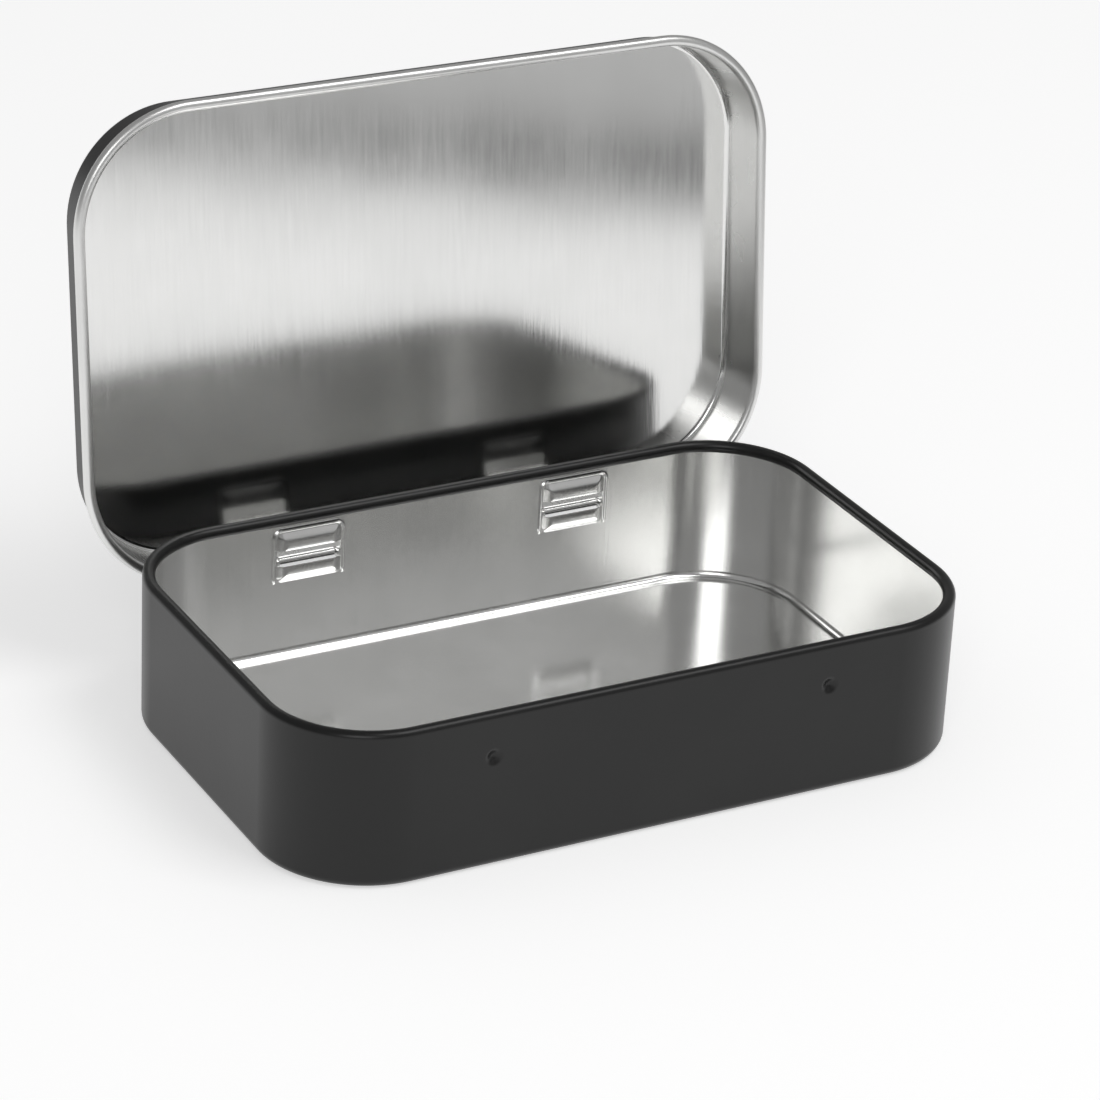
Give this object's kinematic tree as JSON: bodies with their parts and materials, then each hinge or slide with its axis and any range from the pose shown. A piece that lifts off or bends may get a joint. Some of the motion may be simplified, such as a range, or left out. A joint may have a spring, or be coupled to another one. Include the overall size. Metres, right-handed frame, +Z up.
{
  "type": "hinged tin",
  "caption": "Shallow rounded-rectangular pocket tin: a curled-rim base and a beaded lid that turns on two formed hinges, with an open hollow for small things.",
  "frame": {"origin": "middle of the base's flat underside", "axes": "+X along the tin's length, +Y towards the hinge side, +Z up from the underside"},
  "size_m": [0.0958, 0.0717, 0.0732],
  "materials": {
    "black_enamel": "satin",
    "tinplate": "bright, finely brushed"
  },
  "bodies": {
    "base": {"base_shell": "black_enamel", "base_rim": "black_enamel", "left_hinge_pocket": "tinplate", "right_hinge_pocket": "tinplate", "left_hinge_bar": "tinplate", "right_hinge_bar": "tinplate"},
    "lid": {"lid_shell": "black_enamel", "lid_bead": "tinplate", "left_hinge_curl": "tinplate", "right_hinge_curl": "tinplate"}
  },
  "joints": [
    {"name": "lid_hinge", "type": "hinge", "parent": "base", "child": "lid", "pos_m": [0, 0.02968, 0.01302], "axis": [1, 0, 0], "range_deg": [0, 95.5]}
  ]
}
